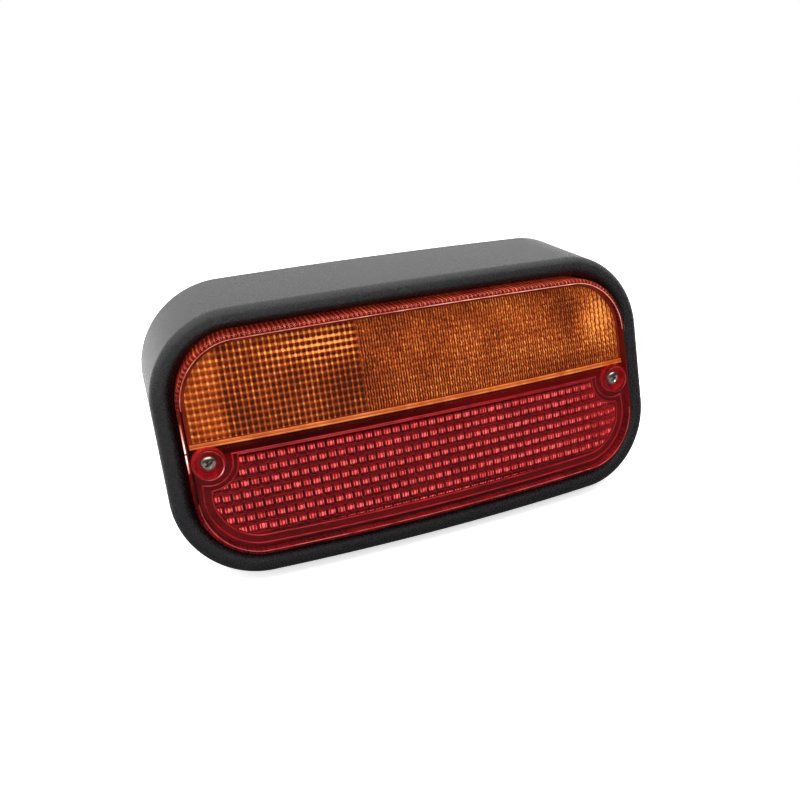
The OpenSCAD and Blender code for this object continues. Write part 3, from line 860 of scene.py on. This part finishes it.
def wall_liner(g, name):
    """The ribs of the lens's side wall: a thin corrugated band that follows the wall and its fillet."""
    l = g.l
    n_corner, n_side = 130, 330
    path = g.outline(g.t_lens, n_corner, n_side)
    step = np.linalg.norm(np.diff(path, axis=0, append=path[:1]), axis=1)
    run = np.concatenate([[0], np.cumsum(step)[:-1]])
    turns = round(step.sum() / l.wall_rib)
    wave = (0.5 + 0.5 * np.cos(2 * np.pi * run / step.sum() * turns))[:, None]
    high, deep = 0.35 * MM, 0.75 * MM
    profile = [(1.3 * MM, g.skirt, 1.3 * MM, g.skirt), (high, g.skirt, deep, g.skirt)]
    for q in np.radians(np.linspace(0, 90, 6)):
        a, b = l.fillet - high, l.fillet - deep
        profile.append((l.fillet - a * math.cos(q), g.front - l.fillet + a * math.sin(q),
                        l.fillet - b * math.cos(q), g.front - l.fillet + b * math.sin(q)))
    profile.append((l.fillet, g.front - 1.2 * MM, l.fillet, g.front - 1.2 * MM))
    rings = []
    for t, level, t2, level2 in profile:
        near, far = (g.outline(g.t_lens + k, n_corner, n_side) for k in (t, t2))
        p = near * (1 - wave) + far * wave
        height = level * (1 - wave[:, 0]) + level2 * wave[:, 0]
        rings.append(g.on_face(p[:, 0], p[:, 1], height))
    obj = make_mesh(name, np.concatenate(rings), bands(len(rings), len(path), around=True))
    layer = obj.data.attributes.new("relief", "FLOAT", "POINT")
    layer.data.foreach_set("value", np.tile(wave[:, 0], len(rings)).astype(np.float32))
    return face_outwards(obj)


def bead(g, name, path, level, radius, closed=False, segments=8):
    """A thin rounded bead along a path that is seen from the front, following the face."""
    path = np.asarray(path)
    x, y = path[:, 0], path[:, 1]
    centre = g.on_face(x, y, level)
    ahead = np.roll(centre, -1, 0) - np.roll(centre, 1, 0)
    if not closed:
        ahead[0], ahead[-1] = centre[1] - centre[0], centre[-1] - centre[-2]
    ahead /= np.linalg.norm(ahead, axis=1, keepdims=True)
    normal = g.normal(x)
    side = np.cross(ahead, normal)
    q = circle(segments)
    rings = centre[:, None] + radius * (np.cos(q)[None, :, None] * side[:, None]
                                        + np.sin(q)[None, :, None] * normal[:, None])
    faces = [(a, d, c, b) for a, b, c, d in bands(len(path), segments, around=closed)]
    if not closed:
        last = (len(path) - 1) * segments
        faces += [tuple(range(segments)), tuple(range(last, last + segments))[::-1]]
    return face_outwards(make_mesh(name, rings.reshape(-1, 3), faces, 60.0))


def edge_line(g, name, upper):
    """A glowing bead that carries the painted highlight where the face turns into the fillet, for one half of
    the lens.
    """
    l = g.l
    path = g.outline(g.t_lens + l.fillet + 0.5 * MM, 60, 80)
    path = path[path[:, 1] > l.joint + 0.4 * MM] if upper else path[path[:, 1] < l.joint - 0.4 * MM]
    centre = -math.pi / 2 if upper else math.pi / 2
    turn = np.mod(np.arctan2(path[:, 1] - l.joint, path[:, 0]) - centre, 2 * math.pi)
    return bead(g, name, path[np.argsort(turn)], g.front - 0.30 * MM, 0.22 * MM)


def edge_streak(g, name, low, high):
    """A glowing bead that carries the painted reflection on the lens's left edge: a white streak between two
    heights.
    """
    y = np.linspace(low, high, 30)
    path = np.stack([np.full(30, g.t_lens + 1.05 * MM - g.b.width / 2), y], 1)
    return bead(g, name, path, g.front - 1.0 * MM, 0.48 * MM)


def field_plate(g, name, gap, level, thick):
    """A thin plate over the red field, in upright strips that follow the face."""
    l = g.l
    edge = g.t_lens + l.border + gap
    path = g.outline(edge, 60, 80)
    low_path = path[path[:, 1] < 0]
    low_path = low_path[np.argsort(low_path[:, 0])]
    reach = l.pocket + l.pocket_border + gap + 2.2 * l.bead
    half = g.b.width / 2 - edge - 0.05 * MM
    xs = np.unique(np.concatenate([np.linspace(-half, half, 120),
                                   *[s * np.linspace(g.screw_x - reach, half, 40) for s in (-1, 1)]]))
    low = np.interp(xs, low_path[:, 0], low_path[:, 1])
    away = np.abs(xs) - g.screw_x
    dip = np.where(np.abs(away) < reach, g.screw_y - np.sqrt(np.maximum(reach ** 2 - away ** 2, 0)), 1.0)
    high = np.minimum(g.field_top - gap - 0.9 * l.bead, dip)
    n = len(xs)
    section = ((low, thick), (high, thick), (high, 0), (low, 0))
    points = [g.on_face(xs, y, level - deep) for y, deep in section]
    faces = bands(4, n, across=False, around=True)
    faces += [(0, n, 2 * n, 3 * n), (n - 1, 4 * n - 1, 3 * n - 1, 2 * n - 1)]
    return face_outwards(make_mesh(name, np.concatenate(points), faces))


def across(y, half_width, points=60):
    """A straight path across the lens at a height."""
    return np.stack([np.linspace(-half_width, half_width, points), np.full(points, y)], 1)


def lens_edge(g, half, upper, tones, streak, glint):
    """What both halves of the lens have at their edge: a fine painted highlight line, a painted glint at the
    left, a ribbed wall.
    """
    name = half.removeprefix("lens_")
    settle_lens(edge_line(g, name + "_edge_line", upper), glint_finish(name + "_edge_glint"), half)
    settle_lens(edge_streak(g, name + "_edge_streak", *streak),
                streak_finish(name + "_streak_glint", *glint), half)
    wall = cut_at_joint(wall_liner(g, name + "_wall"), g, upper)
    settle_lens(wall, wall_finish(name + "_wall_ribs", tones), half)


class BuildAmber(bpy.types.Operator):
    """Moulds the amber half: clear skin, ribbed wall and the grid of small cells inside"""
    bl_idname = "lamp.amber"
    bl_label = "Amber lens"

    def execute(self, context):
        g = Form()
        l, half = g.l, "lens_amber"
        skin = cut_at_joint(lens_skin(g, "amber_skin"), g, True)
        settle_lens(skin, clear_finish("amber_clear", (1.0, 0.93, 0.85)), half)

        optics = amber_finish(g)
        bed = cut_at_joint(lens_bed(g, "amber_bed", 1.4 * MM), g, True)
        settle_lens(bed, line_finish("amber_border_tone", WALL_STOPS, 0.52), half)

        edge = g.t_lens + l.amber_border
        plate = loft(g, "amber_field_floor", [(edge, g.roof - 1.75 * MM, 1), (edge, g.roof - 1.35 * MM, 1)])
        settle_lens(cut_at_joint(plate, g, True, g.cells_low), optics, half)
        rows = int((g.b.height / 2 - edge + 2 * MM - g.cells_low) / l.cell_y)
        count = int((g.b.width / 2 - g.t_lens) / l.cell_x)
        x, y = lay_grid(count, l.cell_x, g.cells_low, rows, l.cell_y)
        keep = g.inside(np.abs(x) + l.cell_x * 0.45, y + l.cell_y * 0.45, edge - 0.3 * MM)
        x, y = x[keep], y[keep]
        cell = cell_mesh(l.cell_x * 0.5, l.cell_y * 0.5, 0.9 * MM)
        cells = scatter("amber_cells", g.on_face(x, y, g.roof - 1.38 * MM), g.normal(x), cell, optics)
        settle_lens(cells, None, half)

        lens_edge(g, half, True, WALL_STOPS, (l.joint + 0.4 * MM, 16 * MM), (0.003, 0.010))

        reach = g.b.width / 2 - g.t_lens - 3.0 * MM
        lines = join("amber_joint_lines", [
            bead(g, "line", across(l.joint + up * MM, reach), g.roof - down * MM, radius * MM)
            for up, down, radius in ((2.45, 0.85, 0.35), (0.85, 0.75, 0.45))])
        settle_lens(lines, line_finish("amber_lines", amber_stops(), 0.72), half)
        ledge = bead(g, "amber_joint_ledge", across(l.joint + 1.65 * MM, reach), g.roof - 1.0 * MM, 0.5 * MM)
        settle_lens(ledge, line_finish("amber_ledge_tone", amber_stops(), 0.58), half)
        return {"FINISHED"}


class BuildRed(bpy.types.Operator):
    """Moulds the red half: clear skin with two screw pockets, rows of blocks and the beads round them"""
    bl_idname = "lamp.red"
    bl_label = "Red lens"
    half = "lens_red"

    def execute(self, context):
        g = Form()
        optics = self.shell(g)
        self.blocks(g, optics)
        self.beads(g)
        lens_edge(g, self.half, False, red_stops(), (-7 * MM, g.l.joint - 0.4 * MM), (0.001, 0.008))
        return {"FINISHED"}

    def shell(self, g):
        """The clear skin, the layers under it and the two pockets. Returns the finish of the optics."""
        l = g.l
        skin = cut_at_joint(lens_skin(g, "red_skin"), g, False)
        for s in (-1, 1):
            boss = cylinder(g, "boss", s * g.screw_x, g.screw_y, g.pocket_floor - l.face,
                            g.pocket_floor + 3 * MM, l.pocket + 0.6 * MM)
            skin = combine(skin, boss, "UNION")
            skin = combine(skin, cylinder(g, "cut", s * g.screw_x, g.screw_y, g.pocket_floor, 0.1, l.pocket),
                           "DIFFERENCE")
        settle_lens(skin, clear_finish("red_clear", (1.0, 0.85, 0.85)), self.half)

        optics = red_finish(g)
        bed = cut_at_joint(lens_bed(g, "red_bed", 1.9 * MM), g, False)
        inner, outer = l.pocket + 0.7 * MM, l.pocket + 1.5 * MM
        low, high = g.pocket_floor - l.face - 0.1 * MM, g.pocket_floor + 1.6 * MM
        profile = [(0.0, low - 0.5 * MM), (outer, low - 0.5 * MM), (outer, high), (inner, high), (inner, low),
                   (0.0, low)]
        cups = []
        for s in (-1, 1):
            bed = combine(bed, cylinder(g, "cut", s * g.screw_x, g.screw_y, 0.0, 0.1, l.pocket + 0.75 * MM),
                          "DIFFERENCE")
            cups.append(turned("cup", profile,
                               lambda x, y, z: g.place(s * g.screw_x + x, g.screw_y + y, z), 64))
        settle_lens(bed, red_border_finish(g), self.half)
        floor = field_plate(g, "red_field_floor", 0.6 * l.bead, g.roof - 1.84 * MM, 0.4 * MM)
        settle_lens(floor, optics, self.half)
        settle_lens(join("red_pocket_cups", cups), wall_finish("red_cup_tone", red_stops(), 0.30), self.half)
        return optics

    def blocks(self, g, optics):
        """The rows of blocks, as far as the bead round them and round the pockets."""
        l = g.l
        count = int((g.b.width / 2 - g.t_lens - l.border) / l.block_x)
        x, y = lay_grid(count, l.block_x, g.rows_low, l.rows, g.row)
        ahead = np.abs(x) + l.block_x * 0.40
        keep = g.inside(ahead, y - g.row * 0.4, g.t_lens + l.border + l.bead)
        keep &= np.hypot(ahead - g.screw_x, y - g.screw_y) > l.pocket + l.pocket_border + 3.0 * l.bead
        x, y = x[keep], y[keep]
        block = block_mesh(l.block_x * 0.39, g.row * 0.41, 1.75 * MM)
        blocks = scatter("red_blocks", g.on_face(x, y, g.roof - 1.88 * MM), g.normal(x), block, optics)
        settle_lens(blocks, None, self.half)

    def beads(self, g):
        """The two beads round the blocks, the ledges between the rows, and a glowing ring at each pocket's
        lip that carries a painted glint.
        """
        l = g.l
        ring = l.pocket + l.pocket_border
        paths = ((l.border, g.field_top - 0.9 * l.bead, ring + 2.25 * l.bead),
                 (l.border - 3.7 * l.bead, g.field_top - 0.1 * l.bead, ring - 0.2 * l.bead))
        beads = [bead(g, "bead", g.field_path(*path), g.roof - 1.1 * MM, 0.42 * l.bead, True)
                 for path in paths]
        ledges = []
        for i in range(1, l.rows):
            y = g.rows_low + i * g.row
            path = across(y, g.b.width / 2, 500)
            path = path[g.inside(path[:, 0], path[:, 1], g.t_lens + l.border + 0.6 * l.bead)
                        & (np.hypot(np.abs(path[:, 0]) - g.screw_x, y - g.screw_y) > ring + 2.8 * l.bead)]
            ledges.append(bead(g, "ledge", path[::3], g.roof - 1.75 * MM, 0.28 * MM, segments=6))
        # painted highlight: a glowing ring at each pocket's lip, brightest at one spot as a painted glint
        turn = circle(72)
        lip = 1.08 * l.pocket * np.stack([np.cos(turn), np.sin(turn)], 1)
        glint_rings = [bead(g, "lip", lip + (s * g.screw_x, g.screw_y), g.front - 0.3 * MM, 0.28 * MM, True)
                for s in (-1, 1)]
        lip_glint = glint_finish("red_lip_glint", 0.02, (-0.1040, -0.0085, 0.003, 0.003))
        settle_lens(join("red_pocket_lips", glint_rings), lip_glint, self.half)
        settle_lens(join("red_beads", beads), line_finish("red_lines", red_stops(), 0.42), self.half)
        settle_lens(join("red_ledges", ledges), line_finish("red_ledge_tone", red_stops(), 0.36), self.half)


def screw_mesh(name):
    """A pan-head screw with a cross recess, standing up along its own axis with its seat at the origin."""
    head, shank, tall, brim, tip = 3.7 * MM, 1.95 * MM, 2.6 * MM, 1.1 * MM, -17 * MM
    profile = [(0.0, tip), (shank * 0.8, tip), (shank, -16.2 * MM), (shank, 0.0), (head - 0.2 * MM, 0.0),
               (head, 0.25 * MM), (head, brim)]
    profile += [(head * math.cos(q), brim + (tall - brim) * math.sin(q))
                for q in np.radians(np.linspace(12, 90, 10))]
    screw = turned(name, profile, lambda x, y, z: np.stack([x, y, np.full_like(x, z)], 1), 48)
    for turn in (0.5, 0.5 + math.pi / 2):
        screw = combine(screw, recess_arm(turn, tall), "DIFFERENCE")
    return screw


def recess_arm(turn, top):
    """One arm of the cross recess: wide at the top and tapered to its floor."""
    bm = bmesh.new()
    bmesh.ops.create_cube(bm, size=1.0)
    for v in bm.verts:
        deep = v.co.z < 0
        v.co = Vector((v.co.x * (1.8 if deep else 4.7) * MM, v.co.y * (0.75 if deep else 1.15) * MM,
                       top - 1.7 * MM if deep else top + 0.3 * MM))
    bmesh.ops.rotate(bm, verts=bm.verts, cent=(0, 0, 0), matrix=Matrix.Rotation(turn, 3, "Z"))
    return from_bmesh("recess", bm)


def screw_finish():
    """Plated steel, dull and darker down in the recess and round the seat as painted shade, with uneven tone.
    """
    g = Form()
    tint = tuple(bpy.context.scene.lamp_finish.steel)
    f = Finish("screw_plating")
    height = -f.axis("Y") - g.pocket_floor
    # painted shade in the recess and round the seat, mixed with uneven tone
    shade_and_mottle = (1 - f.step(height, 1.2 * MM, 2.3 * MM)) * 0.7 + (f.noise(420.0, 3.0, 0.6) - 0.5) * 0.7
    f.surface(Base_Color=f.mix(shade_and_mottle.clamp(), tint, (0.10, 0.075, 0.06)),
              Roughness=(0.22 + 0.35 * shade_and_mottle).clamp(), Metallic=1.0)
    return f.material


class BuildFittings(bpy.types.Operator):
    """Finishes the screws, the seal, the grommet and the pieces inside the lamp"""
    bl_idname = "lamp.fittings"
    bl_label = "Fittings"

    def execute(self, context):
        g = Form()
        sides = np.array([-g.screw_x, g.screw_x])
        seats = g.place(sides, np.full(2, g.screw_y), g.pocket_floor + 0.02 * MM)
        screws = scatter("lens_screws", seats, [(0, -1, 0)] * 2, screw_mesh("lens_screw"), screw_finish())
        settle(screws, None, "screw_steel", "lens_screw_left", "lens_screw_right")
        tint = tuple(context.scene.lamp_finish.steel)
        looks = {
            "seal_rubber": plain_finish("rubber_tone", (0.02, 0.02, 0.021), 0.6),
            "tray_white": plain_finish("tray_tone", (0.78, 0.78, 0.76), 0.3),
            "brass": plain_finish("brass_tone", (0.75, 0.52, 0.24), 0.3, 1.0),
            "screw_steel": plain_finish("screw_steel_tone", tint, 0.25, 1.0, 0.35, 900.0),
            "insulator_brown": plain_finish("board_tone", (0.25, 0.12, 0.05), 0.6),
            "bulb_cap_steel": plain_finish("cap_tone", (0.70, 0.68, 0.64), 0.3, 1.0),
            "bulb_glass": plain_finish("bulb_tone", (0.85, 0.85, 0.83), 0.1),
        }
        for row in frame["record"]["subparts"]:
            if row["material_slot"] in looks:
                give(frame["nodes"][row["node"]], looks[row["material_slot"]])
        return {"FINISHED"}


# Stage

LIGHT_TARGET = Vector((0, -0.04, 0))
CAMERA_PLACE = Vector((-0.1032, -0.38718, 0.12486))
CAMERA_RIGHT = Vector((0.93608, -0.34163, -0.08388))
CAMERA_UP = Vector((0.1787, 0.25643, 0.9499))
CAMERA_LENS = 31.286
CAMERA_SHIFT = -0.0375
FLOOR_GAP = 0.0004          # lamp to floor
FLOOR_LEFT, FLOOR_RIGHT, FLOOR_FRONT, FLOOR_BACK = -1.5, 1.5, -0.75, 3.0


def floor_finish():
    """Paper: white with a faint glow where it is seen, grey to other rays, less so behind the lamp."""
    f = Finish("floor_white")
    paper = f.mix(f.noise(9.0, 3.0), (0.88, 0.88, 0.88), (0.92, 0.92, 0.92))
    seen = direct(f.tree).math("MAXIMUM", f.step(f.axis("Y"), -0.02, 0.10) * 0.55)
    base = f.surface(Base_Color=f.mix(seen, (0.16, 0.16, 0.16), paper), Roughness=0.9)
    glow = f.node("ShaderNodeEmission", Color=(1, 1, 1), Strength=0.72)
    lit = f.node("ShaderNodeAddShader")
    for shader, socket in zip((base, glow), lit.inputs):
        f.tree.links.new(shader.outputs[0], socket)
    f.blend(seen, base, lit)
    return f.material


def build_world(scene):
    """Soft light all round: a pale wall behind the lamp and a bright box above it."""
    world = bpy.data.worlds.new("studio")
    scene.world = world
    world.use_nodes = True
    tree = world.node_tree
    tree.nodes.clear()
    out, back, way, split = (tree.nodes.new("ShaderNode" + kind)
                             for kind in ("OutputWorld", "Background", "TexCoord", "SeparateXYZ"))
    tree.links.new(way.outputs["Generated"], split.inputs[0])
    y, z = Value(tree, split.outputs["Y"]), Value(tree, split.outputs["Z"])
    behind = (y * 2.2 + 0.45).clamp() * 0.95
    box = ((z - y * 0.3) * 10.0 - 7.7).clamp() * 3.3
    light = behind.math("MAXIMUM", box) + 0.03
    plug(tree, light.math("MAXIMUM", direct(tree)), back.inputs["Strength"])
    plug(tree, (1, 1, 1), back.inputs["Color"])
    tree.links.new(back.outputs[0], out.inputs["Surface"])


def area_light(name, location, size, power):
    """A rectangle of light that looks at the lamp."""
    data = bpy.data.lights.new(name, "AREA")
    data.shape, data.size, data.size_y, data.energy = "RECTANGLE", *size, power
    obj = add_object(name, data)
    obj.location = location
    obj.rotation_euler = (LIGHT_TARGET - Vector(location)).to_track_quat("-Z", "Y").to_euler()


def build_camera(scene):
    """The photograph's camera, from the fit to the lamp's outlines."""
    camera = bpy.data.cameras.new("camera")
    camera.lens, camera.sensor_width, camera.clip_start = CAMERA_LENS, 36.0, 0.01
    camera.shift_x = camera.shift_y = CAMERA_SHIFT
    turn = Matrix((CAMERA_RIGHT, CAMERA_UP, CAMERA_RIGHT.cross(CAMERA_UP))).transposed().to_4x4()
    obj = add_object("camera", camera)
    obj.matrix_world = Matrix.Translation(CAMERA_PLACE) @ turn
    scene.camera = obj


class BuildStage(bpy.types.Operator):
    """Sets the white floor, the soft studio light and the camera"""
    bl_idname = "lamp.stage"
    bl_label = "Stage"

    def execute(self, context):
        z = cad_box[0][2] - FLOOR_GAP
        corners = [(FLOOR_LEFT, FLOOR_FRONT, z), (FLOOR_RIGHT, FLOOR_FRONT, z),
                   (FLOOR_RIGHT, FLOOR_BACK, z), (FLOOR_LEFT, FLOOR_BACK, z)]
        floor = make_mesh("floor", corners, [(0, 1, 2, 3)])
        give(floor, floor_finish())
        build_world(context.scene)
        area_light("key", (-0.25, -0.55, 1.15), (0.8, 0.5), 1.6)
        area_light("strip", (-1.1, -0.45, 0.30), (0.2, 0.9), 2.4)
        build_camera(context.scene)
        context.scene.view_settings.view_transform = "Standard"
        return {"FINISHED"}


class LampPanel(bpy.types.Panel):
    """Lists the lamp's pieces"""
    bl_idname = "VIEW3D_PT_tail_light"
    bl_label = "Tail light"
    bl_space_type = "VIEW_3D"
    bl_region_type = "UI"
    bl_category = "Tail light"

    def draw(self, context):
        for step in STEPS:
            self.layout.operator(step.bl_idname)


STEPS = (BuildHousing, BuildAmber, BuildRed, BuildFittings, BuildStage)
GROUPS = (("lamp_body", BodySizes), ("lamp_lens", LensSizes), ("lamp_finish", Finishes))


def register():
    for name, group in GROUPS:
        bpy.utils.register_class(group)
        setattr(bpy.types.Scene, name, PointerProperty(type=group))
    for cls in STEPS + (LampPanel,):
        bpy.utils.register_class(cls)


def unregister():
    for cls in reversed(STEPS + (LampPanel,)):
        bpy.utils.unregister_class(cls)
    for name, group in reversed(GROUPS):
        delattr(bpy.types.Scene, name)
        bpy.utils.unregister_class(group)


def main():
    register()
    for step in STEPS:
        group, name = step.bl_idname.split(".")
        getattr(getattr(bpy.ops, group), name)()


if __name__ == "__main__":
    main()
